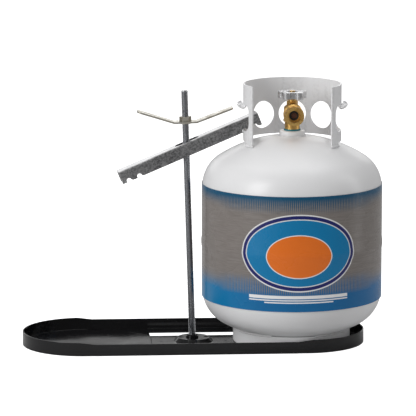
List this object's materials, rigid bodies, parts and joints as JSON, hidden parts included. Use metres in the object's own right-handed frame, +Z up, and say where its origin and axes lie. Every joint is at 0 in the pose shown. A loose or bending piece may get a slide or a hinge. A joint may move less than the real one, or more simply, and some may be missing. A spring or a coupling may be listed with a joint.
{
  "type": "propane cylinder rack",
  "caption": "Low two-seat steel tray with a central threaded rod, bent-bar wing nut and notched hold-down channel, carrying one upright gas cylinder with collar and valve.",
  "frame": {"origin": "centre of the tray at its underside, between the two fixing holes", "axes": "+X along the tray towards the cylinder, -Y to the front, +Z up"},
  "size_m": [0.6227, 0.3132, 0.451],
  "materials": {
    "tray_black": "gloss black powder coat",
    "rod_zinc": "zinc plated",
    "clamp_zinc": "yellowish zinc",
    "galvanised": "mottled galvanised",
    "tank_white": "satin white paint",
    "bare_steel": "plain",
    "label": "printed film",
    "seal_teal": "thread sealant",
    "brass": "machined",
    "wheel": "die cast",
    "rubber": "moulded",
    "poppet": "moulded"
  },
  "bodies": {
    "stand": {"centre_bridge": "tray_black", "collar": "tank_white", "dip_tube": "brass", "foot_ring": "tank_white", "front_rail": "tray_black", "girth_weld": "tank_white", "label_wrap": "label", "left_pan": "tray_black", "lower_shell": "tank_white", "outlet_seat_ring": "rubber", "outlet_spring": "bare_steel", "packing_nut": "brass", "rear_rail": "tray_black", "relief_cap": "brass", "relief_spring": "bare_steel", "right_pan": "tray_black", "rod_base_nut": "tray_black", "rod_lock_nut": "rod_zinc", "stem_packing": "rubber", "thread_seal": "seal_teal", "threaded_rod": "rod_zinc", "upper_shell": "tank_white", "valve_body": "brass", "valve_boss": "tank_white"},
    "wing_carrier": {"wing_washer": "clamp_zinc"},
    "wing_nut": {"wing_bar": "clamp_zinc", "wing_hex_nut": "clamp_zinc"},
    "hold_down": {"hold_down_bar": "galvanised"},
    "wheel": {"handwheel": "wheel", "handwheel_screw": "brass", "valve_stem": "brass"},
    "plug": {"valve_plug": "brass"},
    "relief": {"relief_poppet": "brass"},
    "outlet_check": {"outlet_poppet": "poppet"},
    "bleed": {"bleed_screw": "brass"}
  },
  "joints": [
    {"name": "wing_lift", "type": "slide", "parent": "stand", "child": "wing_carrier", "axis": [-0.0304, 0, 0.9995], "range_m": [0, 0.0422]},
    {"name": "wing_turn", "type": "hinge", "parent": "wing_carrier", "child": "wing_nut", "pos_m": [-0.01348, 0, 0.38442], "axis": [-0.0304, 0, 0.9995], "range_deg": [0, 8640]},
    {"name": "hold_down_tilt", "type": "hinge", "parent": "stand", "child": "hold_down", "pos_m": [0.0875, 0.008, 0.371], "axis": [-0.0872, 0.9962, 0], "range_deg": [0, 9]},
    {"name": "handwheel_turn", "type": "hinge", "parent": "stand", "child": "wheel", "pos_m": [0.1703, 0, 0.431], "axis": [0, 0, 1], "range_deg": [0, 540]},
    {"name": "plug_lift", "type": "slide", "parent": "stand", "child": "plug", "axis": [0, 0, 1], "range_m": [0, 0.0022]},
    {"name": "relief_lift", "type": "slide", "parent": "stand", "child": "relief", "axis": [0, 1, 0], "range_m": [0, 0.002], "stiffness_N_per_m": 2000, "springref_m": -0.002, "deforming": ["relief_spring"]},
    {"name": "outlet_check_push", "type": "slide", "parent": "stand", "child": "outlet_check", "axis": [0, 1, 0], "range_m": [0, 0.003], "stiffness_N_per_m": 800, "springref_m": -0.002, "deforming": ["outlet_spring"]},
    {"name": "bleed_turn", "type": "hinge", "parent": "stand", "child": "bleed", "pos_m": [0.1593, 0.011, 0.386], "axis": [-0.7071, 0.7071, 0], "range_deg": [0, 360]}
  ],
  "couplings": [
    {"joint": "wing_lift", "follows": "wing_turn", "m_per_rad": 0.00027852},
    {"joint": "plug_lift", "follows": "handwheel_turn", "m_per_rad": 0.00022282}
  ]
}
